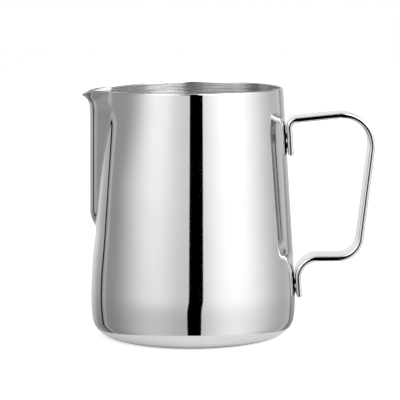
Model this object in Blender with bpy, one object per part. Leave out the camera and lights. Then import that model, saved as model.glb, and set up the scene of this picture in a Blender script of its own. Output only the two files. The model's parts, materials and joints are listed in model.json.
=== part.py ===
"""Steel milk pitcher: a drawn body with a pressed spout and a strap handle spot welded to it.

Metres, +Z up. The origin is on the body's axis, in the plane of the base.
The handle is on +X and the spout on -X.
"""

from math import acos, atan2, cos, exp, hypot, pi, radians, sin, sqrt, tan

import bmesh
import bpy
from mathutils import Matrix, Vector

# Drawn body
BODY_HEIGHT = 0.1083
BODY_DIAMETER = 0.0900           # widest, low on the belly
MOUTH_DIAMETER = 0.0798
BELLY_RADIUS = 0.0884            # arc that rounds the tapered wall in below its widest place
BELLY_TUCK = radians(5.7)        # how far that arc leans in before the corner
CORNER_RADIUS = 0.0086           # rounded corner between the belly and the flat base
WALL = 0.0010
RIM_ROUND = 0.0004               # rounding of the rim's two edges

# Pressed spout
SPOUT_STANDOUT = 0.0046          # of its front at the rim, outside the mouth circle
SPOUT_FRONT_LEAN = radians(0.7)  # of that front, outwards on the way down
SPOUT_LENGTH = 0.0523            # of that front, down from the rim
SPOUT_ROOT_RADIUS = 0.0140       # arc that carries the front back into the wall
SPOUT_ROOT_DEPTH = 0.0110        # height of the stretch in which that arc meets the wall
SPOUT_FLANK_TURN = radians(43.7)  # turn that each flank's outward side nears, from straight ahead
SPOUT_CREASE = 0.00025           # softness of the hollow between flank and wall
SPOUT_SECTOR = radians(75.0)     # half of the sector that the press reaches
NOSE_LENGTH = 0.0088             # from the rounded front to the point where the flanks' lines cross
LIP_FLARE_RADIUS = 0.0051        # outward curl of the lip at the spout's tip
LIP_FLARE_DEPTH = 0.0046
LIP_FORWARD = 0.0007             # of the front at the rim, above the stretch that stays straight
LIP_FORWARD_DEPTH = 0.0120
LIP_NOSE = 0.0050                # more of that length at the rim
LIP_NOSE_DEPTH = 0.0160
LIP_SWING = radians(11.0)        # more turn of the flanks at the rim
LIP_SWING_DEPTH = 0.0100
LIP_SAG = 0.0007                 # of the rim round the spout, below its own plane
LIP_DROOP = 0.0023               # of the tip, below that sag

# Wall beside the spout and below its root, which the press draws in
RIM_PINCH = 0.0016
RIM_PINCH_TURN = radians(38.0)
RIM_PINCH_WIDTH = radians(20.0)
RIM_PINCH_DEPTH = 0.0040
RIM_PINCH_FADE = 0.0420
WALL_PINCH = 0.0014              # of the wall below, close to the crease
WALL_PINCH_TURN = radians(15.2)
WALL_PINCH_WIDTH = radians(16.0)
WALL_PINCH_DEPTH = 0.0050
WALL_PINCH_RISE = 0.0100
WALL_PINCH_FALL = 0.8            # power with which it fades out towards the end of the press
HOLLOW = 0.0006                  # at its deepest, where the spout has run out
HOLLOW_HEIGHT = 0.0060
HOLLOW_WIDTH = radians(14.0)
PRESS_REACH = 0.9                # share of the straight wall's height that the press reaches

# Strap handle, along its centre line
STRAP_WIDTH = 0.0160
STRAP_THICKNESS = 0.0024
STRAP_EDGE_ROUND = 0.0009
UPPER_TAB_FOOT = 0.0788          # height of the upper tab's lower end
UPPER_ARM_HEIGHT = 0.0940        # height at which the upper arm leaves the wall
UPPER_ARM_RISE = radians(5.5)
UPPER_ARM_REACH = 0.0381         # from the upper tab to the corner above the grip
GRIP_LEAN = radians(7.0)
LOWER_ARM_HEIGHT = 0.0335
LOWER_TAB_FOOT = 0.0164          # height of the lower tab's lower end
UPPER_BEND_RADIUS = 0.0033
TOP_CORNER_RADIUS = 0.0131
LOW_CORNER_RADIUS = 0.0100
LOWER_BEND_RADIUS = 0.0085

# Spot welds between each tab and the wall
TAB_GAP = 0.0002                 # from the wall to the tab's flat back
WELD_DIAMETER = 0.0026
WELD_PITCH = 0.0042
WELD_SEAT_GAP = 0.00004          # at each end of a weld nugget

# Steps of the round stretches
SIDE_STEPS = 30
SPOUT_STEPS = 44
LIP_ROWS = 4
FRONT_ROWS = 7
ROOT_ROWS = 5
HOLLOW_ROWS = 3
BELLY_ROWS = 4
CORNER_ROWS = 5
RIM_SEGMENTS = 2
BEND_STEP = radians(9.0)
STRAP_EDGE_SEGMENTS = 3
WELD_SIDES = 20

MERGE_DISTANCE = 0.000001
EDGE_ANGLE = radians(50.0)
SMOOTH_ANGLE = radians(35.0)
STEEL_COLOUR = (0.72, 0.72, 0.71, 1.0)
WELD_COLOUR = (0.50, 0.48, 0.46, 1.0)
POLISHED_ROUGHNESS = 0.08
WELD_ROUGHNESS = 0.45

MOUTH_RADIUS = MOUTH_DIAMETER / 2
BODY_RADIUS = BODY_DIAMETER / 2
SPOUT_END = SPOUT_LENGTH + SPOUT_ROOT_DEPTH


def spaced(start, stop, count):
    """Even steps from start up to, but without, stop."""
    return [start + (stop - start) * index / count for index in range(count)]


def belly_centre():
    """Centre of the belly's arc, as radius and height."""
    height = CORNER_RADIUS + (BELLY_RADIUS - CORNER_RADIUS) * sin(BELLY_TUCK)
    return BODY_RADIUS - BELLY_RADIUS, height


def wall_taper():
    """Angle by which the straight wall leans in, on its tangent from the mouth to the belly's arc."""
    centre_radius, centre_height = belly_centre()
    across = MOUTH_RADIUS - centre_radius
    up = BODY_HEIGHT - centre_height
    return atan2(up, across) - acos(BELLY_RADIUS / hypot(across, up))


def press_depth():
    """Depth below the rim down to which the press reaches, above the belly's arc."""
    wall_foot = belly_centre()[1] + BELLY_RADIUS * sin(wall_taper())
    return PRESS_REACH * (BODY_HEIGHT - wall_foot)


def wall_radius(height):
    """Outside radius of the straight wall, also where its line runs on past its end."""
    return MOUTH_RADIUS + (BODY_HEIGHT - height) * tan(wall_taper())


def body_outline():
    """Outside profile as (radius, height), from the rim down to the edge of the flat base."""
    depths = spaced(0.0, LIP_FLARE_DEPTH, LIP_ROWS)
    depths += spaced(LIP_FLARE_DEPTH, SPOUT_LENGTH, FRONT_ROWS)
    depths += spaced(SPOUT_LENGTH, SPOUT_END, ROOT_ROWS)
    depths += spaced(SPOUT_END, press_depth(), HOLLOW_ROWS) + [press_depth()]
    outline = [(wall_radius(BODY_HEIGHT - depth), BODY_HEIGHT - depth) for depth in depths]
    centre_radius, centre_height = belly_centre()
    for angle in spaced(wall_taper(), -BELLY_TUCK, BELLY_ROWS):
        outline.append((centre_radius + BELLY_RADIUS * cos(angle), centre_height + BELLY_RADIUS * sin(angle)))
    corner_centre = centre_radius + (BELLY_RADIUS - CORNER_RADIUS) * cos(BELLY_TUCK)
    for angle in spaced(-BELLY_TUCK, -pi / 2, CORNER_ROWS):
        outline.append((corner_centre + CORNER_RADIUS * cos(angle), CORNER_RADIUS * (1 + sin(angle))))
    outline.append((corner_centre, 0.0))
    return outline


def arc_rise(radius, run):
    """How far an arc that starts straight has turned aside after a run along its start."""
    run = min(max(run, 0.0), radius)
    return radius - sqrt(radius * radius - run * run)


def soft_larger(first, second, softness):
    """The larger of two lengths, with a rounded change from one to the other."""
    overlap = max(softness - abs(first - second), 0.0)
    return max(first, second) + overlap * overlap / (4 * softness)


def bell(value, middle, width):
    """A soft bump that is 1 at its middle and fades out on both sides."""
    return exp(-(((value - middle) / width) ** 2))


def smooth_change(value, start, length):
    """A soft change from 0 at start to 1 after a length."""
    share = min(max((value - start) / length, 0.0), 1.0)
    return share * share * (3 - 2 * share)


def near_rim(depth):
    """How strongly the lip's own shaping acts, from 1 at the rim down to 0."""
    return max(1 - depth / LIP_SWING_DEPTH, 0.0) ** 2


def spout_radius(turn, depth):
    """Plan radius of the spout, at a turn from straight ahead and a depth below the rim."""
    root = arc_rise(SPOUT_ROOT_RADIUS, depth - SPOUT_LENGTH)
    flare = arc_rise(LIP_FLARE_RADIUS, LIP_FLARE_DEPTH - depth)
    forward = LIP_FORWARD * max(1 - depth / LIP_FORWARD_DEPTH, 0.0) ** 2
    front = MOUTH_RADIUS + SPOUT_STANDOUT + depth * tan(SPOUT_FRONT_LEAN) + flare + forward - root
    nose = NOSE_LENGTH + LIP_NOSE * max(1 - depth / LIP_NOSE_DEPTH, 0.0) ** 2
    flank_turn = SPOUT_FLANK_TURN + LIP_SWING * near_rim(depth)
    angle = min(turn, flank_turn)
    apex = front + nose
    ahead = apex * cos(angle)
    room = apex * apex - nose * nose
    steep = cos(angle) ** 2 - (sin(angle) * tan(flank_turn)) ** 2
    return room / (ahead + sqrt(ahead * ahead - steep * room)) * cos(turn - angle)


def drawn_in(turn, depth):
    """How far the press draws the wall in, beside the spout's crease and below its root."""
    beside_rim = RIM_PINCH * bell(turn, RIM_PINCH_TURN, RIM_PINCH_WIDTH)
    beside_rim *= 1 - smooth_change(depth, RIM_PINCH_DEPTH, RIM_PINCH_FADE)
    beside_wall = WALL_PINCH * bell(turn, WALL_PINCH_TURN, WALL_PINCH_WIDTH)
    beside_wall *= smooth_change(depth, WALL_PINCH_DEPTH, WALL_PINCH_RISE)
    beside_wall *= max(1 - depth / press_depth(), 0.0) ** WALL_PINCH_FALL
    below = HOLLOW * bell(depth, SPOUT_END, HOLLOW_HEIGHT) * bell(turn, 0.0, HOLLOW_WIDTH)
    return beside_rim + beside_wall + below


def pressed_radius(turn, depth):
    """Outside radius of the wall after pressing."""
    wall = wall_radius(BODY_HEIGHT - depth) - drawn_in(turn, depth)
    return soft_larger(wall, spout_radius(turn, depth), SPOUT_CREASE)


def lip_drop(turn, depth):
    """How far the rim sags round the spout and droops towards its tip."""
    reach = max(pressed_radius(turn, 0.0) - MOUTH_RADIUS, 0.0)
    tip = pressed_radius(0.0, 0.0) - MOUTH_RADIUS
    sag = LIP_SAG * (1 + cos(pi * turn / SPOUT_SECTOR)) / 2
    return (sag + LIP_DROOP * (reach / tip) ** 2.5) * max(1 - depth / SPOUT_END, 0.0) ** 2


def press_spout(mesh):
    """Moves the wall's points to the pressed shape, and lets the lip droop."""
    for vertex in mesh.verts:
        depth = BODY_HEIGHT - vertex.co.z
        turn = abs(atan2(vertex.co.y, -vertex.co.x))
        if depth > press_depth() + MERGE_DISTANCE or turn > SPOUT_SECTOR:
            continue
        scale = pressed_radius(turn, depth) / hypot(vertex.co.x, vertex.co.y)
        vertex.co.x *= scale
        vertex.co.y *= scale
        vertex.co.z -= lip_drop(turn, depth)


def steel(name, colour, roughness):
    """A plain metal material."""
    material = bpy.data.materials.new(name)
    material.use_nodes = True
    shader = material.node_tree.nodes["Principled BSDF"]
    shader.inputs["Base Color"].default_value = colour
    shader.inputs["Metallic"].default_value = 1.0
    shader.inputs["Roughness"].default_value = roughness
    return material


def add_object(name, mesh, material):
    """Puts a finished bmesh into the scene as a named object."""
    data = bpy.data.meshes.new(name)
    mesh.to_mesh(data)
    mesh.free()
    data.shade_smooth()
    data.set_sharp_from_angle(angle=SMOOTH_ANGLE)
    data.materials.append(material)
    part = bpy.data.objects.new(name, data)
    bpy.context.scene.collection.objects.link(part)
    return part


def add_bevel(part, width, segments):
    """Rounds an object's sharp edges."""
    bevel = part.modifiers.new("Rounded edges", "BEVEL")
    bevel.limit_method = "ANGLE"
    bevel.angle_limit = EDGE_ANGLE
    bevel.width = width
    bevel.segments = segments


def make_body():
    """The drawn shell: a turned outline, the spout pressed into it, then the wall's thickness."""
    mesh = bmesh.new()
    start = Matrix.Rotation(pi - SPOUT_SECTOR, 3, "Z")
    points = [mesh.verts.new(start @ Vector((radius, 0.0, height))) for radius, height in body_outline()]
    profile = points + [mesh.edges.new(pair) for pair in zip(points, points[1:])]
    for angle, steps in ((2 * SPOUT_SECTOR, SPOUT_STEPS), (2 * pi - 2 * SPOUT_SECTOR, SIDE_STEPS)):
        turned = bmesh.ops.spin(mesh, geom=profile, cent=(0, 0, 0), axis=(0, 0, 1), angle=angle, steps=steps)
        profile = turned["geom_last"]
    bmesh.ops.remove_doubles(mesh, verts=mesh.verts, dist=MERGE_DISTANCE)
    foot = [edge for edge in mesh.edges if max(vertex.co.z for vertex in edge.verts) < MERGE_DISTANCE]
    base = bmesh.ops.edgeloop_fill(mesh, edges=foot)["faces"][0]
    press_spout(mesh)
    bmesh.ops.recalc_face_normals(mesh, faces=mesh.faces)
    if base.normal.z > 0:
        bmesh.ops.reverse_faces(mesh, faces=mesh.faces)
    body = add_object("pitcher_body", mesh, steel("Polished body steel", STEEL_COLOUR, POLISHED_ROUGHNESS))
    shell = body.modifiers.new("Sheet thickness", "SOLIDIFY")
    shell.thickness = WALL
    shell.offset = -1.0
    shell.use_even_offset = True
    add_bevel(body, RIM_ROUND, RIM_SEGMENTS)


def tab_point(height):
    """Point of the strap's centre line, where the strap lies along the wall."""
    out = (TAB_GAP + STRAP_THICKNESS / 2) / cos(wall_taper())
    return Vector((wall_radius(height) + out, 0.0, height))


def strap_corners():
    """Corners of the strap's centre line, from the upper tab's foot to the lower tab's foot."""
    upper_bend = tab_point(UPPER_ARM_HEIGHT)
    top_corner = upper_bend + UPPER_ARM_REACH * Vector((1.0, 0.0, tan(UPPER_ARM_RISE)))
    lower_bend = tab_point(LOWER_ARM_HEIGHT)
    grip_height = top_corner.z - LOWER_ARM_HEIGHT
    low_corner = Vector((top_corner.x - grip_height * tan(GRIP_LEAN), 0.0, LOWER_ARM_HEIGHT))
    upper_foot = tab_point(UPPER_TAB_FOOT)
    lower_foot = tab_point(LOWER_TAB_FOOT)
    return [upper_foot, upper_bend, top_corner, low_corner, lower_bend, lower_foot]


def bend_run(before, corner, after, radius):
    """Length of a bend along each of the two straight runs that meet in its corner."""
    return radius * tan((corner - before).angle(after - corner) / 2)


def push_on(mesh, ring, step):
    """Extrudes the strap's open end straight on, and returns the new end's points and edges."""
    edges = [item for item in ring if isinstance(item, bmesh.types.BMEdge)]
    grown = bmesh.ops.extrude_edge_only(mesh, edges=edges)["geom"]
    points = [item for item in grown if isinstance(item, bmesh.types.BMVert)]
    bmesh.ops.translate(mesh, verts=points, vec=step)
    grown_edges = [item for item in grown if isinstance(item, bmesh.types.BMEdge)]
    return points + [edge for edge in grown_edges if set(edge.verts) <= set(points)]


def bend_on(mesh, ring, centre, axis, angle):
    """Spins the strap's open end round a bend, and returns the new end's points and edges."""
    steps = max(round(angle / BEND_STEP), 1)
    return bmesh.ops.spin(mesh, geom=ring, cent=centre, axis=axis, angle=angle, steps=steps)["geom_last"]


def make_handle():
    """The strap, bent from a flat bar: straight runs are extruded and bends are spun."""
    corners = strap_corners()
    radii = (UPPER_BEND_RADIUS, TOP_CORNER_RADIUS, LOW_CORNER_RADIUS, LOWER_BEND_RADIUS)
    mesh = bmesh.new()
    ahead = (corners[1] - corners[0]).normalized()
    across = Vector((0.0, STRAP_WIDTH / 2, 0.0))
    through = ahead.cross(Vector((0.0, 1.0, 0.0))) * STRAP_THICKNESS / 2
    signs = ((1, 1), (1, -1), (-1, -1), (-1, 1))
    points = [mesh.verts.new(corners[0] + across * side + through * face) for side, face in signs]
    end = points + [mesh.edges.new(pair) for pair in zip(points, points[1:] + points[:1])]
    place = corners[0]
    for before, corner, after, radius in zip(corners, corners[1:], corners[2:], radii):
        ahead = (corner - before).normalized()
        onward = (after - corner).normalized()
        run = bend_run(before, corner, after, radius)
        start = corner - ahead * run
        end = push_on(mesh, end, start - place)
        axis = ahead.cross(onward).normalized()
        end = bend_on(mesh, end, start + axis.cross(ahead) * radius, axis, ahead.angle(onward))
        place = corner + onward * run
    push_on(mesh, end, corners[-1] - place)
    bmesh.ops.holes_fill(mesh, edges=mesh.edges, sides=len(signs))
    bmesh.ops.recalc_face_normals(mesh, faces=mesh.faces)
    strap = add_object("handle_strap", mesh, steel("Polished strap steel", STEEL_COLOUR, POLISHED_ROUGHNESS))
    add_bevel(strap, STRAP_EDGE_ROUND, STRAP_EDGE_SEGMENTS)


def make_weld_pair(tab_name, foot, bend, run):
    """The two weld nuggets between one tab's flat and the wall."""
    along = (bend - foot).normalized()
    outward = Vector((0.0, 1.0, 0.0)).cross(along)
    flat_middle = (foot + bend - along * run) / 2
    seat = flat_middle - outward * (STRAP_THICKNESS + TAB_GAP) / 2
    for level, side in (("high", 1), ("low", -1)):
        mesh = bmesh.new()
        depth = TAB_GAP - 2 * WELD_SEAT_GAP
        ends = {"radius1": WELD_DIAMETER / 2, "radius2": WELD_DIAMETER / 2}
        bmesh.ops.create_cone(mesh, cap_ends=True, segments=WELD_SIDES, depth=depth, **ends)
        material = steel(f"Weld steel {tab_name} {level}", WELD_COLOUR, WELD_ROUGHNESS)
        nugget = add_object(f"{tab_name}_weld_{level}", mesh, material)
        nugget.location = seat + along * side * WELD_PITCH / 2
        nugget.rotation_euler = outward.to_track_quat("Z", "Y").to_euler()


def make_welds():
    """Weld nuggets behind both tabs."""
    corners = strap_corners()
    upper_run = bend_run(*corners[0:3], UPPER_BEND_RADIUS)
    make_weld_pair("upper", corners[0], corners[1], upper_run)
    lower_run = bend_run(*corners[3:6], LOWER_BEND_RADIUS)
    make_weld_pair("lower", corners[5], corners[4], lower_run)


def main():
    """Clears the scene and makes every piece."""
    for item in list(bpy.data.objects):
        bpy.data.objects.remove(item)
    make_body()
    make_handle()
    make_welds()


main()
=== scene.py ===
"""Looks of a steel milk frothing pitcher: drawn body, strap handle, welds and the studio around them.

Metres, +Z up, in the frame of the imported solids. The handle is on +X and the spout on -X.
"""

from __future__ import annotations

import json
import logging
from dataclasses import dataclass, field
from enum import Enum
from math import acos, atan2, cos, exp, hypot, pi, radians, sin, sqrt, tan

import bmesh
import bpy
from mathutils import Matrix, Vector

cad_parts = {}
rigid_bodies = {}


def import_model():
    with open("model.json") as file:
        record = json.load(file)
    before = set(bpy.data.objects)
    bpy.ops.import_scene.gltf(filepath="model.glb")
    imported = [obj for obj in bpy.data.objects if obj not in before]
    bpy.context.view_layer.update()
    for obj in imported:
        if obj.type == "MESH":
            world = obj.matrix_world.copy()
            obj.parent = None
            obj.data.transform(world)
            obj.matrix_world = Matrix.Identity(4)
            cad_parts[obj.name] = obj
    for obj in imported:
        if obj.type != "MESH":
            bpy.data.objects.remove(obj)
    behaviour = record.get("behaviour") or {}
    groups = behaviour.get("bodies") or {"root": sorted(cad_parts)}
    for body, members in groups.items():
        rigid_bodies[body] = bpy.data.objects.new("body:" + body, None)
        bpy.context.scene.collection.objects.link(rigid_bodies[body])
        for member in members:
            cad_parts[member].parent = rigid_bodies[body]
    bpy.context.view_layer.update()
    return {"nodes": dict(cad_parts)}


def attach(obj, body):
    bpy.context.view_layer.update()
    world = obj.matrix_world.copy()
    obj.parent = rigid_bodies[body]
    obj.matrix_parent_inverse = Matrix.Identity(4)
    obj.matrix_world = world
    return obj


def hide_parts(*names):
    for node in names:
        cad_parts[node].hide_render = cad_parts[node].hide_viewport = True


LOG = logging.getLogger("pitcher")
ROOT_BODY = "root"
MERGE_DISTANCE = 1.0e-6
SHARP_EDGE = radians(50.0)

NOISE_RANGE = (0.3, 0.7)
LINE_DETAIL = 2.0
SMUDGE_DETAIL = 3.0
LINE_DULLNESS = 0.6
QUARTER_TURN = 0.25

Span = tuple[float, float]
Colour = tuple[float, float, float]


class BodySide(Enum):
    """Faces of the drawn body that take a finish of their own, by material index."""

    OUTSIDE = 0
    INSIDE = 1
    UNDERSIDE = 2
    INNER_FLOOR = 3


def spaced(start: float, stop: float, count: int) -> list[float]:
    """Even steps from start up to, but without, stop, as many as count."""
    return [start + (stop - start) * index / count for index in range(count)]


def arc_rise(radius: float, run: float) -> float:
    """How far an arc that starts straight has turned aside after a run along its start."""
    run = min(max(run, 0.0), radius)
    return radius - sqrt(radius * radius - run * run)


def soft_larger(first: float, second: float, softness: float) -> float:
    """The larger of two lengths, blended where they differ by less than the softness."""
    overlap = max(softness - abs(first - second), 0.0)
    return max(first, second) + overlap * overlap / (4 * softness)


def bell(value: float, middle: float, width: float) -> float:
    """A soft bump that is 1 at its middle and about a third at its width to either side."""
    return exp(-(((value - middle) / width) ** 2))


def smooth_change(value: float, start: float, length: float) -> float:
    """A soft change from 0 at the start to 1 after the length."""
    share = min(max((value - start) / length, 0.0), 1.0)
    return share * share * (3 - 2 * share)


def fading(depth: float, reach: float) -> float:
    """A share that is 1 at the rim and has faded out at a depth of reach below it."""
    return max(1 - depth / reach, 0.0) ** 2


class NodeGraph:
    """Short ways to add and join shader nodes in one tree."""

    def __init__(self, tree: bpy.types.NodeTree) -> None:
        """Takes the node tree of a material or the world, and empties it."""
        self.tree = tree
        tree.nodes.clear()

    def add(self, kind: str, settings: dict | None = None, **inputs: object) -> bpy.types.Node:
        """Adds a node, sets its properties and feeds its inputs.

        Args:
            kind: Node class name without the ShaderNode prefix.
            settings: Properties of the node.
            **inputs: Values or sockets by input name, with spaces written as underscores,
                or by input number as in in0.

        Returns:
            The new node.
        """
        node = self.tree.nodes.new("ShaderNode" + kind)
        for name, value in (settings or {}).items():
            setattr(node, name, value)
        for name, value in inputs.items():
            key = int(name[2:]) if name[:2] == "in" and name[2:].isdigit() else name.replace("_", " ")
            self.feed(node.inputs[key], value)
        return node

    def feed(self, socket: bpy.types.NodeSocket, value: object) -> None:
        """Links a socket to another, or sets its value.

        Args:
            socket: Input socket.
            value: Output socket or plain value.
        """
        if isinstance(value, bpy.types.NodeSocket):
            self.tree.links.new(value, socket)
        else:
            socket.default_value = value

    def math(self, operation: str, *values: object) -> bpy.types.NodeSocket:
        """Output of a Math node with the values as its inputs, in order."""
        inputs = {f"in{index}": value for index, value in enumerate(values)}
        return self.add("Math", {"operation": operation}, **inputs).outputs[0]

    def remap(self, value: object, source: Span, target: Span) -> bpy.types.NodeSocket:
        """A clamped Map Range node with a smooth change.

        Args:
            value: What is mapped.
            source: Range it comes from.
            target: Range it goes to.

        Returns:
            The mapped value.
        """
        node = self.add(
            "MapRange",
            {"interpolation_type": "SMOOTHSTEP"},
            Value=value,
            From_Min=source[0],
            From_Max=source[1],
            To_Min=target[0],
            To_Max=target[1],
        )
        return node.outputs["Result"]


@dataclass(frozen=True)
class SteelFinish:
    """A steel surface with fine lines left by the tool that finished it.

    Attributes:
        name: Material name.
        colour: Base colour.
        roughness: Lowest and highest roughness.
        line_pitch: Distance between the lines, over the surface.
        line_stretch: Length of a line over its pitch.
        line_depth: Strength of the lines in the bump.
        smudge_size: Size of the dull and bright patches.
        anisotropy: How far reflections are drawn out across the lines.
        turned: Whether the lines run round the body's axis, or else along the strap.
        line_height: Height of the lines over their pitch.
        tone: How much darker and brighter the colour gets.
        line_share: Share of the lines in that change of tone, the rest being the patches.
    """

    name: str
    colour: Colour
    roughness: Span
    line_pitch: float
    line_stretch: float
    line_depth: float
    smudge_size: float
    anisotropy: float
    turned: bool
    line_height: float = 0.1
    tone: float = 0.012
    line_share: float = 0.0

    def material(self) -> bpy.types.Material:
        """Builds the node material.

        Returns:
            The new material.
        """
        material = bpy.data.materials.new(self.name)
        material.use_nodes = True
        graph = NodeGraph(material.node_tree)
        place = graph.add("TexCoord").outputs["Object"]
        lines = self._lines(graph, place)
        scale = 1.0 / self.smudge_size
        smudges = graph.add("TexNoise", Vector=place, Scale=scale, Detail=SMUDGE_DETAIL).outputs[0]
        dull = self._together(graph, lines, smudges, LINE_DULLNESS)
        roughness = graph.remap(dull, NOISE_RANGE, self.roughness)
        shade = self._together(graph, lines, smudges, self.line_share)
        tint = graph.add("Mix", {"data_type": "RGBA"}, in0=graph.remap(shade, NOISE_RANGE, (0.0, 1.0)))
        for name, tone in (("A", 1.0 - self.tone), ("B", 1.0 + self.tone)):
            tint.inputs[name].default_value = (*(min(channel * tone, 1.0) for channel in self.colour), 1.0)
        relief = self.line_pitch * self.line_height
        bump = graph.add("Bump", Strength=self.line_depth, Distance=relief, Height=lines)
        shader = graph.add(
            "BsdfPrincipled",
            Base_Color=tint.outputs["Result"],
            Roughness=roughness,
            Normal=bump.outputs[0],
            Metallic=1.0,
            Anisotropic=self.anisotropy,
            Anisotropic_Rotation=QUARTER_TURN,
        )
        if self.turned and self.anisotropy:
            tangent = graph.add("Tangent", {"direction_type": "RADIAL", "axis": "Z"})
            graph.feed(shader.inputs["Tangent"], tangent.outputs[0])
        graph.add("OutputMaterial", Surface=shader.outputs[0])
        return material

    @staticmethod
    def _together(
        graph: NodeGraph, lines: bpy.types.NodeSocket, smudges: bpy.types.NodeSocket, share: float
    ) -> bpy.types.NodeSocket:
        """The lines with a share, and the smudges with the rest."""
        rest = graph.math("MULTIPLY", smudges, 1.0 - share)
        return graph.math("MULTIPLY_ADD", lines, share, rest)

    def _lines(self, graph: NodeGraph, place: bpy.types.NodeSocket) -> bpy.types.NodeSocket:
        """Noise drawn out into lines, round the axis or along the strap.

        Args:
            graph: The material's graph.
            place: Object coordinates.

        Returns:
            The lines, from 0 to 1.
        """
        fine = 1.0 / self.line_pitch
        coarse = fine / self.line_stretch
        if not self.turned:
            scaled = graph.add("Mapping", Vector=place, Scale=(coarse, fine, coarse))
            return graph.add("TexNoise", Vector=scaled.outputs[0], Scale=1.0, Detail=LINE_DETAIL).outputs[0]
        flat = graph.add("VectorMath", {"operation": "MULTIPLY"}, in0=place, in1=(1.0, 1.0, 0.0))
        radius = graph.add("VectorMath", {"operation": "LENGTH"}, in0=flat.outputs[0]).outputs["Value"]
        scaled = graph.add("Mapping", Vector=place, Scale=(coarse, coarse, fine))
        noise = graph.add(
            "TexNoise",
            {"noise_dimensions": "4D"},
            Vector=scaled.outputs[0],
            W=graph.math("MULTIPLY", radius, fine),
            Scale=1.0,
            Detail=LINE_DETAIL,
        )
        return noise.outputs[0]


MIRROR_STEEL = SteelFinish(
    name="Mirror polished steel",
    colour=(0.70, 0.70, 0.705),
    roughness=(0.025, 0.06),
    line_pitch=0.0003,
    line_stretch=60.0,
    line_depth=0.004,
    smudge_size=0.018,
    anisotropy=0.0,
    turned=True,
)
BRUSHED_STEEL = SteelFinish(
    name="Brushed inner steel",
    colour=(0.76, 0.755, 0.75),
    roughness=(0.20, 0.28),
    line_pitch=0.0007,
    line_stretch=40.0,
    line_depth=1.0,
    smudge_size=0.03,
    anisotropy=0.98,
    turned=True,
    line_height=0.16,
    tone=0.14,
    line_share=0.6,
)
SPUN_STEEL = SteelFinish(
    name="Spun base steel",
    colour=(0.64, 0.635, 0.625),
    roughness=(0.24, 0.36),
    line_pitch=0.0005,
    line_stretch=150.0,
    line_depth=0.10,
    smudge_size=0.02,
    anisotropy=0.6,
    turned=True,
)
STRAP_STEEL = SteelFinish(
    name="Polished strap steel",
    colour=(0.70, 0.70, 0.70),
    roughness=(0.04, 0.12),
    line_pitch=0.0005,
    line_stretch=3.0,
    line_depth=0.22,
    smudge_size=0.012,
    anisotropy=0.0,
    turned=False,
)
WELD_STEEL = SteelFinish(
    name="Bare weld steel",
    colour=(0.50, 0.48, 0.46),
    roughness=(0.35, 0.60),
    line_pitch=0.0004,
    line_stretch=2.0,
    line_depth=0.3,
    smudge_size=0.002,
    anisotropy=0.0,
    turned=False,
)


def finish_piece(mesh: bmesh.types.BMesh, name: str, node: str) -> bpy.types.Object:
    """Puts a bmesh into the scene as a smooth piece that stands for a solid.

    Args:
        mesh: Finished bmesh, which is freed.
        name: Name of the piece.
        node: Solid that the piece replaces.

    Returns:
        The new object.
    """
    data = bpy.data.meshes.new(name)
    mesh.to_mesh(data)
    mesh.free()
    data.shade_smooth()
    piece = bpy.data.objects.new(name, data)
    bpy.context.scene.collection.objects.link(piece)
    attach(piece, ROOT_BODY)
    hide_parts(node)
    return piece


def add_rounding(piece: bpy.types.Object, width: float, segments: int) -> None:
    """Rounds a piece's sharp edges with a Bevel modifier.

    Args:
        piece: Object to round.
        width: Width of the rounding.
        segments: Steps in it.
    """
    bevel = piece.modifiers.new("Rounded edges", "BEVEL")
    bevel.limit_method = "ANGLE"
    bevel.angle_limit = SHARP_EDGE
    bevel.width = width
    bevel.segments = segments
    bevel.profile = 0.5


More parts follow.
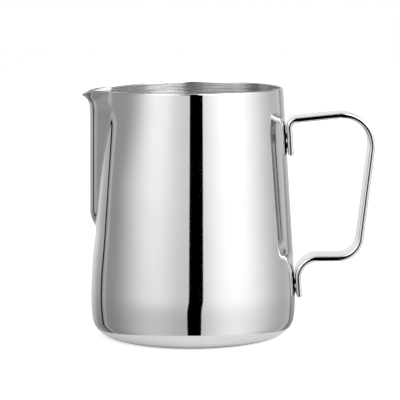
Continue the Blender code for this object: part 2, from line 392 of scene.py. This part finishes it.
@dataclass
class DrawnBody:
    """The one-piece steel shell: tapered wall, belly, flat base and pressed spout.

    Depths are measured down from the rim, and turns from straight ahead over the spout. The spout's front
    rounds off into two flanks, the lip's values act near the rim, and the pinches and the hollow draw the
    wall in beside the spout and below it. Steps, rows and segments only set how fine the mesh is.
    """

    height: float = 0.1083
    diameter: float = 0.0900
    mouth_diameter: float = 0.0798
    belly_radius: float = 0.0884
    belly_tuck: float = radians(5.7)
    corner_radius: float = 0.0086
    wall: float = 0.0010
    rim_round: float = 0.00048
    spout_standout: float = 0.0046
    front_lean: float = radians(0.7)
    spout_length: float = 0.0523
    spout_root_radius: float = 0.0140
    spout_root_depth: float = 0.0110
    flank_turn: float = radians(43.7)
    nose_length: float = 0.0088
    crease: float = 0.00025
    sector: float = radians(75.0)
    flare_radius: float = 0.0051
    flare_depth: float = 0.0046
    lip_forward: float = 0.0007
    lip_forward_depth: float = 0.0120
    lip_nose: float = 0.0050
    lip_nose_depth: float = 0.0160
    lip_swing: float = radians(11.0)
    lip_swing_depth: float = 0.0100
    lip_sag: float = 0.0007
    lip_droop: float = 0.0023
    lip_droop_power: float = 2.5
    rim_pinch: float = 0.0016
    rim_pinch_turn: float = radians(38.0)
    rim_pinch_width: float = radians(20.0)
    rim_pinch_depth: float = 0.0040
    rim_pinch_fade: float = 0.0420
    wall_pinch: float = 0.0014
    wall_pinch_turn: float = radians(15.2)
    wall_pinch_width: float = radians(16.0)
    wall_pinch_depth: float = 0.0050
    wall_pinch_rise: float = 0.0100
    wall_pinch_fall: float = 0.8
    hollow: float = 0.0006
    hollow_height: float = 0.0060
    hollow_width: float = radians(14.0)
    press_reach: float = 0.9
    side_steps: int = 120
    spout_steps: int = 160
    rim_row: float = 0.0008
    lip_rows: int = 14
    front_rows: int = 44
    root_rows: int = 18
    hollow_rows: int = 14
    wall_rows: int = 3
    belly_rows: int = 12
    corner_rows: int = 18
    floor_rows: int = 10
    rim_segments: int = 5
    finishes: dict[BodySide, SteelFinish] = field(
        default_factory=lambda: {
            BodySide.OUTSIDE: MIRROR_STEEL,
            BodySide.INSIDE: BRUSHED_STEEL,
            BodySide.UNDERSIDE: SPUN_STEEL,
            BodySide.INNER_FLOOR: BRUSHED_STEEL,
        }
    )

    @property
    def mouth_radius(self) -> float:
        """Outside radius at the rim."""
        return self.mouth_diameter / 2

    @property
    def spout_end(self) -> float:
        """Depth below the rim at which the spout has run out."""
        return self.spout_length + self.spout_root_depth

    def belly_centre(self) -> Span:
        """Radius and height of the centre of the belly's arc."""
        height = self.corner_radius + (self.belly_radius - self.corner_radius) * sin(self.belly_tuck)
        return self.diameter / 2 - self.belly_radius, height

    def taper(self) -> float:
        """Angle by which the straight wall leans in.

        Returns:
            The angle of the tangent from the mouth to the belly's arc.
        """
        centre_radius, centre_height = self.belly_centre()
        across = self.mouth_radius - centre_radius
        up = self.height - centre_height
        return atan2(up, across) - acos(self.belly_radius / hypot(across, up))

    def wall_radius(self, height: float) -> float:
        """Outside radius of the straight wall at a height above the base."""
        return self.mouth_radius + (self.height - height) * tan(self.taper())

    def wall_depth(self) -> float:
        """Depth below the rim at which the straight wall meets the belly's arc."""
        return self.height - self.belly_centre()[1] - self.belly_radius * sin(self.taper())

    def press_depth(self) -> float:
        """Depth below the rim down to which the press reaches."""
        return self.press_reach * self.wall_depth()

    def outline(self) -> list[Vector]:
        """Outside profile in the XZ plane, from the rim down to the middle of the base.

        Returns:
            Its points.
        """
        centre_radius, centre_height = self.belly_centre()
        depths = [0.0] + spaced(self.rim_row, self.flare_depth, self.lip_rows)
        depths += spaced(self.flare_depth, self.spout_length, self.front_rows)
        depths += spaced(self.spout_length, self.spout_end, self.root_rows)
        depths += spaced(self.spout_end, self.press_depth(), self.hollow_rows)
        depths += spaced(self.press_depth(), self.wall_depth(), self.wall_rows)
        points = [(self.wall_radius(self.height - depth), self.height - depth) for depth in depths]
        for angle in spaced(self.taper(), -self.belly_tuck, self.belly_rows):
            reach = Vector((cos(angle), sin(angle))) * self.belly_radius
            points.append((centre_radius + reach.x, centre_height + reach.y))
        corner_centre = centre_radius + (self.belly_radius - self.corner_radius) * cos(self.belly_tuck)
        for angle in spaced(-self.belly_tuck, -pi / 2, self.corner_rows):
            reach = Vector((cos(angle), 1 + sin(angle))) * self.corner_radius
            points.append((corner_centre + reach.x, reach.y))
        points += [(radius, 0.0) for radius in spaced(corner_centre, 0.0, self.floor_rows)] + [(0.0, 0.0)]
        return [Vector((radius, 0.0, height)) for radius, height in points]

    def spout_radius(self, turn: float, depth: float) -> float:
        """Plan radius of the spout, whose front rounds off into two nearly straight flanks.

        Args:
            turn: Angle from straight ahead.
            depth: Depth below the rim.

        Returns:
            Distance from the body's axis.
        """
        root = arc_rise(self.spout_root_radius, depth - self.spout_length)
        flare = arc_rise(self.flare_radius, self.flare_depth - depth)
        flare += self.lip_forward * fading(depth, self.lip_forward_depth)
        front = self.mouth_radius + self.spout_standout + depth * tan(self.front_lean) + flare - root
        nose = self.nose_length + self.lip_nose * fading(depth, self.lip_nose_depth)
        flank_turn = self.flank_turn + self.lip_swing * fading(depth, self.lip_swing_depth)
        angle = min(turn, flank_turn)
        apex = front + nose
        ahead = apex * cos(angle)
        room = apex * apex - nose * nose
        steep = cos(angle) ** 2 - (sin(angle) * tan(flank_turn)) ** 2
        return room / (ahead + sqrt(ahead * ahead - steep * room)) * cos(turn - angle)

    def drawn_in(self, turn: float, depth: float) -> float:
        """How far the press draws the wall in, beside the spout's crease and below its root.

        Args:
            turn: Angle from straight ahead.
            depth: Depth below the rim.

        Returns:
            Distance inwards.
        """
        beside_rim = self.rim_pinch * bell(turn, self.rim_pinch_turn, self.rim_pinch_width)
        beside_rim *= 1 - smooth_change(depth, self.rim_pinch_depth, self.rim_pinch_fade)
        beside_wall = self.wall_pinch * bell(turn, self.wall_pinch_turn, self.wall_pinch_width)
        beside_wall *= smooth_change(depth, self.wall_pinch_depth, self.wall_pinch_rise)
        beside_wall *= max(1 - depth / self.press_depth(), 0.0) ** self.wall_pinch_fall
        below = self.hollow * bell(depth, self.spout_end, self.hollow_height)
        below *= bell(turn, 0.0, self.hollow_width)
        return beside_rim + beside_wall + below

    def pressed_radius(self, turn: float, depth: float) -> float:
        """Outside radius of the pressed wall, at a turn from straight ahead and a depth below the rim."""
        wall = self.wall_radius(self.height - depth) - self.drawn_in(turn, depth)
        return soft_larger(wall, self.spout_radius(turn, depth), self.crease)

    def lip_drop(self, turn: float, depth: float) -> float:
        """How far the rim sags round the spout and droops towards its tip.

        Args:
            turn: Angle from straight ahead.
            depth: Depth below the rim.

        Returns:
            Distance downwards.
        """
        reach = max(self.pressed_radius(turn, 0.0) - self.mouth_radius, 0.0)
        tip = self.pressed_radius(0.0, 0.0) - self.mouth_radius
        sag = self.lip_sag * (1 + cos(pi * turn / self.sector)) / 2
        droop = self.lip_droop * (reach / tip) ** self.lip_droop_power
        return (sag + droop) * fading(depth, self.spout_end)

    def press_spout(self, mesh: bmesh.types.BMesh) -> None:
        """Moves the wall's points to the pressed shape, and lets the lip droop.

        Args:
            mesh: Turned body.
        """
        for vertex in mesh.verts:
            depth = self.height - vertex.co.z
            turn = abs(atan2(vertex.co.y, -vertex.co.x))
            if depth > self.press_depth() or turn > self.sector:
                continue
            scale = self.pressed_radius(turn, depth) / hypot(vertex.co.x, vertex.co.y)
            vertex.co.x *= scale
            vertex.co.y *= scale
            vertex.co.z -= self.lip_drop(turn, depth)

    def shell(self) -> bmesh.types.BMesh:
        """Turns the outline and presses the spout.

        Returns:
            The outside surface, open at the rim.
        """
        mesh = bmesh.new()
        start = Matrix.Rotation(pi - self.sector, 3, "Z")
        points = [mesh.verts.new(start @ point) for point in self.outline()]
        profile = points + [mesh.edges.new(pair) for pair in zip(points, points[1:])]
        turns = ((2 * self.sector, self.spout_steps), (2 * pi - 2 * self.sector, self.side_steps))
        for angle, steps in turns:
            turned = bmesh.ops.spin(
                mesh, geom=profile, cent=(0, 0, 0), axis=(0, 0, 1), angle=angle, steps=steps
            )
            profile = turned["geom_last"]
        bmesh.ops.remove_doubles(mesh, verts=mesh.verts, dist=MERGE_DISTANCE)
        self.press_spout(mesh)
        bmesh.ops.recalc_face_normals(mesh, faces=mesh.faces)
        base = min(mesh.faces, key=lambda face: face.calc_center_median().z)
        if base.normal.z > 0:
            bmesh.ops.reverse_faces(mesh, faces=mesh.faces)
        for face in mesh.faces:
            if max(vertex.co.z for vertex in face.verts) < MERGE_DISTANCE:
                face.material_index = BodySide.UNDERSIDE.value
        return mesh

    def build(self) -> bpy.types.Object:
        """Makes the shell, gives it its thickness and dresses it.

        Returns:
            The finished piece.
        """
        piece = finish_piece(self.shell(), "drawn_body", "pitcher_body")
        for side in BodySide:
            piece.data.materials.append(self.finishes[side].material())
        sheet = piece.modifiers.new("Sheet thickness", "SOLIDIFY")
        sheet.thickness = self.wall
        sheet.offset = -1.0
        sheet.use_even_offset = True
        sheet.material_offset = BodySide.INSIDE.value
        add_rounding(piece, self.rim_round, self.rim_segments)
        return piece


@dataclass
class StrapHandle:
    """The flat steel strap, bent four times, with a flat tab at each end."""

    body: DrawnBody
    width: float = 0.0160
    thickness: float = 0.0024
    edge_round: float = 0.0009
    edge_segments: int = 6
    tab_gap: float = 0.0002
    upper_foot: float = 0.0788
    upper_arm_height: float = 0.0940
    upper_arm_rise: float = radians(5.5)
    upper_arm_reach: float = 0.0381
    grip_lean: float = radians(7.0)
    lower_arm_height: float = 0.0335
    lower_foot: float = 0.0164
    bend_radii: tuple[float, ...] = (0.0033, 0.0131, 0.0100, 0.0085)
    bend_step: float = radians(2.5)
    run_step: float = 0.0020
    finish: SteelFinish = STRAP_STEEL

    def tab_point(self, height: float) -> Vector:
        """Point of the centre line where the strap lies along the wall, at a height above the base."""
        out = (self.tab_gap + self.thickness / 2) / cos(self.body.taper())
        return Vector((self.body.wall_radius(height) + out, 0.0, height))

    def corners(self) -> list[Vector]:
        """Corners of the centre line.

        Returns:
            The points from the upper tab's foot to the lower tab's foot.
        """
        upper_bend = self.tab_point(self.upper_arm_height)
        top_corner = upper_bend + self.upper_arm_reach * Vector((1.0, 0.0, tan(self.upper_arm_rise)))
        drop = top_corner.z - self.lower_arm_height
        low_corner = Vector((top_corner.x - drop * tan(self.grip_lean), 0.0, self.lower_arm_height))
        lower_bend = self.tab_point(self.lower_arm_height)
        upper_foot = self.tab_point(self.upper_foot)
        lower_foot = self.tab_point(self.lower_foot)
        return [upper_foot, upper_bend, top_corner, low_corner, lower_bend, lower_foot]

    def push_on(self, mesh: bmesh.types.BMesh, ring: list, step: Vector) -> list:
        """Extrudes the strap's open end straight on.

        Args:
            mesh: The strap so far.
            ring: Points and edges of its open end.
            step: How far the end moves.

        Returns:
            Points and edges of the new end.
        """
        count = max(round(step.length / self.run_step), 1)
        for _ in range(count):
            edges = [item for item in ring if isinstance(item, bmesh.types.BMEdge)]
            grown = bmesh.ops.extrude_edge_only(mesh, edges=edges)["geom"]
            points = [item for item in grown if isinstance(item, bmesh.types.BMVert)]
            bmesh.ops.translate(mesh, verts=points, vec=step / count)
            grown_edges = [item for item in grown if isinstance(item, bmesh.types.BMEdge)]
            ring = points + [edge for edge in grown_edges if set(edge.verts) <= set(points)]
        return ring

    def bar(self) -> bmesh.types.BMesh:
        """Runs the strap's rectangular section along its centre line.

        Returns:
            The closed strap, with sharp edges.
        """
        corners = self.corners()
        mesh = bmesh.new()
        ahead = (corners[1] - corners[0]).normalized()
        across = Vector((0.0, self.width / 2, 0.0))
        through = ahead.cross(Vector((0.0, 1.0, 0.0))) * self.thickness / 2
        signs = ((1, 1), (1, -1), (-1, -1), (-1, 1))
        points = [mesh.verts.new(corners[0] + across * side + through * face) for side, face in signs]
        ring = points + [mesh.edges.new(pair) for pair in zip(points, points[1:] + points[:1])]
        place = corners[0]
        for before, corner, after, radius in zip(corners, corners[1:], corners[2:], self.bend_radii):
            ahead = (corner - before).normalized()
            onward = (after - corner).normalized()
            angle = ahead.angle(onward)
            run = radius * tan(angle / 2)
            start = corner - ahead * run
            ring = self.push_on(mesh, ring, start - place)
            axis = ahead.cross(onward).normalized()
            centre = start + axis.cross(ahead) * radius
            steps = round(angle / self.bend_step)
            turned = bmesh.ops.spin(mesh, geom=ring, cent=centre, axis=axis, angle=angle, steps=steps)
            ring = turned["geom_last"]
            place = corner + onward * run
        self.push_on(mesh, ring, corners[-1] - place)
        bmesh.ops.holes_fill(mesh, edges=mesh.edges, sides=len(signs))
        bmesh.ops.recalc_face_normals(mesh, faces=mesh.faces)
        return mesh

    def build(self) -> bpy.types.Object:
        """Makes the strap and dresses it.

        Returns:
            The finished piece.
        """
        piece = finish_piece(self.bar(), "bent_strap", "handle_strap")
        piece.data.materials.append(self.finish.material())
        add_rounding(piece, self.edge_round, self.edge_segments)
        return piece


@dataclass
class SpotWelds:
    """The four weld nuggets, which keep the shape of their solids."""

    nodes: tuple[str, ...] = ("upper_weld_high", "upper_weld_low", "lower_weld_high", "lower_weld_low")
    finish: SteelFinish = WELD_STEEL

    def dress(self, solids: dict[str, bpy.types.Object]) -> None:
        """Gives the welds their bare, heat-dulled steel.

        Args:
            solids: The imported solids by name.
        """
        material = self.finish.material()
        for name in self.nodes:
            solids[name].data.materials.clear()
            solids[name].data.materials.append(material)
            LOG.info("dressed %s", name)


@dataclass(frozen=True)
class Softbox:
    """A tall soft light at the edge of the studio.

    Attributes:
        azimuth: Direction from the object, from the camera's side towards the handle.
        half_width: Angle over which it fades out.
        strength: Brightness at the object's height.
        top: Brightness higher up, over that strength.
        foot: Brightness lower down, over that strength.
    """

    azimuth: float
    half_width: float
    strength: float
    top: float
    foot: float


@dataclass(frozen=True)
class Seam:
    """The dark line where a side panel of the studio ends and the backdrop starts.

    Attributes:
        azimuth: Direction from the object.
        half_width: Angle over which it fades out.
        depth: Share of the light that is missing at its middle.
    """

    azimuth: float
    half_width: float
    depth: float

    @property
    def core(self) -> float:
        """Angle within which it is darkest."""
        return self.half_width / 3


@dataclass
class Studio:
    """White product studio: softboxes, a dark gap beside the camera, a backdrop and a pale floor.

    The levels are brightnesses by direction. A pair of heights is the elevations between which a level
    changes, and the two backdrops' pairs are azimuths. The stand is the patch of floor that the metal
    mirrors.
    """

    softboxes: tuple[Softbox, ...] = (
        Softbox(radians(-46.0), radians(60.0), 0.89, 3.0, 0.60),
        Softbox(radians(49.0), radians(72.0), 0.92, 5.5, 0.85),
        Softbox(radians(-118.4), radians(5.5), 0.22, 1.0, 0.70),
        Softbox(radians(136.0), radians(9.0), 0.09, 1.0, 0.70),
    )
    seams: tuple[Seam, ...] = (
        Seam(radians(-125.8), radians(2.8), 1.0),
        Seam(radians(142.5), radians(2.4), 0.42),
    )
    spout_side_level: float = 0.39
    handle_side_level: float = 0.66
    side_change: float = radians(60.0)
    panel_top: Span = (radians(6.0), radians(26.0))
    panel_top_level: float = 0.15
    spout_backdrop: Span = (radians(-156.0), radians(-134.0))
    spout_backdrop_level: float = 0.58
    handle_backdrop: Span = (radians(128.0), radians(190.0))
    handle_backdrop_level: float = 0.45
    light_colour: Colour = (0.988, 0.988, 1.0)
    ceiling_level: float = 0.8
    ceiling_start: float = radians(50.0)
    ceiling_full: float = radians(75.0)
    top_heights: Span = (radians(8.0), radians(30.0))
    foot_heights: Span = (radians(-12.0), radians(4.0))
    low_heights: Span = (radians(-16.0), radians(1.0))
    low_level: float = 0.80
    backdrop_low_heights: Span = (radians(-20.0), radians(0.0))
    backdrop_low_level: float = 0.55
    gap_heights: Span = (radians(-12.0), radians(8.0))
    gap_middles: Span = (radians(1.2), radians(6.8))
    gap_top_heights: Span = (radians(5.0), radians(15.0))
    gap_top_shift: float = radians(-9.5)
    gap_top_widening: float = radians(4.0)
    gap_half_width: float = radians(7.9)
    gap_edge: float = radians(0.4)
    floor_size: float = 4.0
    floor_drop: float = 0.0002
    floor_colour: Colour = (0.46, 0.45, 0.44)
    floor_lift: float = 0.72
    stand_half_width: float = 0.0440
    stand_reach: float = 0.0560
    stand_edge: float = 0.012
    stand_lift: float = 0.36
    # Distances from the axis over which the floor's glow in the metal rises from none: a painted contact
    # shadow round the base
    painted_contact_shadow: Span = (0.0362, 0.0410)
    camera_distance: float = 0.850
    camera_clip: Span = (0.01, 20.0)
    camera_elevation: float = radians(7.28)
    camera_roll: float = radians(-0.38)
    camera_aim: tuple[float, float, float] = (0.00328, 0.0, 0.05881)
    focal_pixels: float = 1936.0
    image_pixels: float = 400.0
    sensor_width: float = 36.0

    def build(self) -> None:
        """Makes the floor, the world and the camera, and sets the view transform."""
        self.make_floor()
        self.make_world()
        self.make_camera()
        bpy.context.scene.view_settings.view_transform = "Standard"

    def make_camera(self) -> None:
        """Places the camera at the photograph's viewing angle."""
        camera = bpy.data.cameras.new("photo_camera")
        camera.sensor_width = self.sensor_width
        camera.lens = self.focal_pixels / self.image_pixels * self.sensor_width
        camera.clip_start, camera.clip_end = self.camera_clip
        viewer = bpy.data.objects.new("photo_camera", camera)
        back = Vector((0.0, -cos(self.camera_elevation), sin(self.camera_elevation)))
        viewer.location = Vector(self.camera_aim) + back * self.camera_distance
        viewer.rotation_mode = "ZYX"
        viewer.rotation_euler = (pi / 2 - self.camera_elevation, 0.0, self.camera_roll)
        bpy.context.scene.collection.objects.link(viewer)
        bpy.context.scene.camera = viewer

    def make_floor(self) -> None:
        """Lays the pale floor under the base."""
        mesh = bmesh.new()
        bmesh.ops.create_grid(mesh, x_segments=1, y_segments=1, size=self.floor_size / 2)
        bmesh.ops.translate(mesh, verts=mesh.verts, vec=(0.0, 0.0, -self.floor_drop))
        data = bpy.data.meshes.new("studio_floor")
        mesh.to_mesh(data)
        mesh.free()
        data.materials.append(self.floor_material())
        floor = bpy.data.objects.new("studio_floor", data)
        bpy.context.scene.collection.objects.link(floor)

    def floor_material(self) -> bpy.types.Material:
        """Pale floor that shows white to the camera and keeps a soft shadow.

        In the metal only an oval patch round the base is mirrored, as on a small stand, and the glow it
        shows there fades out towards the base as a painted contact shadow.

        Returns:
            The new material.
        """
        material = bpy.data.materials.new("Pale studio floor")
        material.use_nodes = True
        graph = NodeGraph(material.node_tree)
        place = graph.add("TexCoord").outputs["Object"]
        rays = graph.add("LightPath").outputs
        oval = (1.0 / self.stand_half_width, 1.0 / self.stand_reach, 0.0)
        patch = graph.add("VectorMath", {"operation": "MULTIPLY"}, in0=place, in1=oval).outputs[0]
        reach = graph.add("VectorMath", {"operation": "LENGTH"}, in0=patch).outputs["Value"]
        outside = graph.remap(reach, (1.0 - self.stand_edge, 1.0 + self.stand_edge), (0.0, 1.0))
        pale = graph.add("BsdfDiffuse", Color=(*self.floor_colour, 1.0)).outputs[0]
        from_axis = graph.add("VectorMath", {"operation": "LENGTH"}, in0=place).outputs["Value"]
        mirrored = graph.math("ADD", rays["Is Glossy Ray"], rays["Is Transmission Ray"])
        # Painted contact shadow: the glow that the metal sees is withheld near the base, so the mirrored
        # floor darkens there
        glow_with_painted_shadow = graph.remap(from_axis, self.painted_contact_shadow, (0.0, self.stand_lift))
        mirrored = graph.math("MULTIPLY", mirrored, glow_with_painted_shadow)
        strength = graph.math("MULTIPLY_ADD", rays["Is Camera Ray"], self.floor_lift, mirrored)
        lift = graph.add("Emission", Color=(1.0, 1.0, 1.0, 1.0), Strength=strength)
        shown = graph.add("AddShader", in0=pale, in1=lift.outputs[0]).outputs[0]
        hidden = graph.add("BsdfTransparent").outputs[0]
        unseen = graph.math("MULTIPLY", outside, rays["Is Glossy Ray"])
        surface = graph.add("MixShader", Fac=unseen, in1=shown, in2=hidden)
        graph.add("OutputMaterial", Surface=surface.outputs[0])
        return material

    def behind(self, graph: NodeGraph, azimuth: bpy.types.NodeSocket) -> bpy.types.NodeSocket:
        """Marks the directions between the two seams that lie behind the object.

        Args:
            graph: The world's graph.
            azimuth: Direction from the object.

        Returns:
            1 on the backdrop and 0 on the side panels.
        """
        left, right = (seam.azimuth for seam in self.seams)
        away = graph.math("ABSOLUTE", graph.math("SUBTRACT", azimuth, (left + right) / 2))
        return graph.math("GREATER_THAN", away, (right - left) / 2)

    def panel_level(
        self, graph: NodeGraph, azimuth: bpy.types.NodeSocket, elevation: bpy.types.NodeSocket
    ) -> bpy.types.NodeSocket:
        """Brightness of the side panels with their softboxes.

        Args:
            graph: The world's graph.
            azimuth: Direction from the object.
            elevation: Angle above the horizontal.

        Returns:
            The brightness.
        """
        sides = (-self.side_change, self.side_change)
        level = graph.remap(azimuth, sides, (self.spout_side_level, self.handle_side_level))
        panel = graph.remap(elevation, self.panel_top, (1.0, self.panel_top_level))
        level = graph.math("MULTIPLY", level, panel)
        for softbox in self.softboxes:
            away = graph.math("ABSOLUTE", graph.math("SUBTRACT", azimuth, softbox.azimuth))
            light = graph.remap(away, (0.0, softbox.half_width), (softbox.strength, 0.0))
            top = graph.remap(elevation, self.top_heights, (1.0, softbox.top))
            light = graph.math("MULTIPLY", light, top)
            foot = graph.remap(elevation, self.foot_heights, (softbox.foot, 1.0))
            level = graph.math("MULTIPLY_ADD", light, foot, level)
        return level

    def backdrop_level(
        self, graph: NodeGraph, azimuth: bpy.types.NodeSocket, elevation: bpy.types.NodeSocket
    ) -> bpy.types.NodeSocket:
        """Brightness of the backdrop, which is darker towards the seams and the floor.

        Args:
            graph: The world's graph.
            azimuth: Direction from the object.
            elevation: Angle above the horizontal.

        Returns:
            The brightness.
        """
        spout_side = graph.remap(azimuth, self.spout_backdrop, (1.0, self.spout_backdrop_level))
        handle_side = graph.remap(azimuth, self.handle_backdrop, (self.handle_backdrop_level, 1.0))
        at_spout = graph.math("LESS_THAN", azimuth, 0.0)
        level = graph.math("MULTIPLY", handle_side, graph.math("SUBTRACT", 1.0, at_spout))
        level = graph.math("MULTIPLY_ADD", spout_side, at_spout, level)
        foot = graph.remap(elevation, self.backdrop_low_heights, (self.backdrop_low_level, 1.0))
        return graph.math("MULTIPLY", level, foot)

    def outside_gap(
        self, graph: NodeGraph, azimuth: bpy.types.NodeSocket, elevation: bpy.types.NodeSocket
    ) -> bpy.types.NodeSocket:
        """Marks the directions outside the dark gap beside the camera, which swings aside higher up.

        Args:
            graph: The world's graph.
            azimuth: Direction from the object.
            elevation: Angle above the horizontal.

        Returns:
            0 in the gap and 1 outside it.
        """
        middle = graph.remap(elevation, self.gap_heights, self.gap_middles)
        shift = graph.remap(elevation, self.gap_top_heights, (0.0, self.gap_top_shift))
        middle = graph.math("ADD", middle, shift)
        from_gap = graph.math("ABSOLUTE", graph.math("SUBTRACT", azimuth, middle))
        wider = graph.remap(elevation, self.gap_top_heights, (0.0, self.gap_top_widening))
        from_gap = graph.math("SUBTRACT", from_gap, wider)
        edges = (self.gap_half_width - self.gap_edge, self.gap_half_width + self.gap_edge)
        return graph.remap(from_gap, edges, (0.0, 1.0))

    def make_world(self) -> None:
        """Paints the studio by direction: azimuth from the camera's side, and elevation."""
        world = bpy.data.worlds.new("Product studio")
        world.use_nodes = True
        bpy.context.scene.world = world
        graph = NodeGraph(world.node_tree)
        direction = graph.add("SeparateXYZ", Vector=graph.add("TexCoord").outputs["Generated"]).outputs
        azimuth = graph.math("ARCTAN2", direction["X"], graph.math("MULTIPLY", direction["Y"], -1.0))
        elevation = graph.math("ARCSINE", direction["Z"])
        behind = self.behind(graph, azimuth)
        level = self.panel_level(graph, azimuth, elevation)
        level = graph.math("MULTIPLY", level, graph.math("SUBTRACT", 1.0, behind))
        level = graph.math("MULTIPLY_ADD", behind, self.backdrop_level(graph, azimuth, elevation), level)
        for seam in self.seams:
            away = graph.math("ABSOLUTE", graph.math("SUBTRACT", azimuth, seam.azimuth))
            left_over = graph.remap(away, (seam.core, seam.half_width), (1.0 - seam.depth, 1.0))
            level = graph.math("MULTIPLY", level, left_over)
        low = graph.remap(elevation, self.low_heights, (self.low_level, 1.0))
        level = graph.math("MULTIPLY", level, low)
        level = graph.math("MULTIPLY", level, self.outside_gap(graph, azimuth, elevation))
        overhead = graph.remap(elevation, (self.ceiling_start, self.ceiling_full), (0.0, 1.0))
        ceiling = graph.math("MULTIPLY", overhead, self.ceiling_level)
        level = graph.math("MULTIPLY_ADD", level, graph.math("SUBTRACT", 1.0, overhead), ceiling)
        studio = graph.add("Background", Color=(*self.light_colour, 1.0), Strength=level).outputs[0]
        white = graph.add("Background", Color=(1.0, 1.0, 1.0, 1.0), Strength=1.0).outputs[0]
        seen = graph.add("LightPath").outputs["Is Camera Ray"]
        surface = graph.add("MixShader", Fac=seen, in1=studio, in2=white)
        graph.add("OutputWorld", Surface=surface.outputs[0])


def main() -> None:
    """Loads the frame, then builds and dresses every piece in order."""
    logging.basicConfig(level=logging.INFO, format="%(name)s: %(message)s")
    for item in list(bpy.data.objects):
        bpy.data.objects.remove(item)
    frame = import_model()
    body = DrawnBody()
    for piece in (body.build(), StrapHandle(body).build()):
        LOG.info("built %s", piece.name)
    SpotWelds().dress(frame["nodes"])
    Studio().build()


if __name__ == "__main__":
    main()
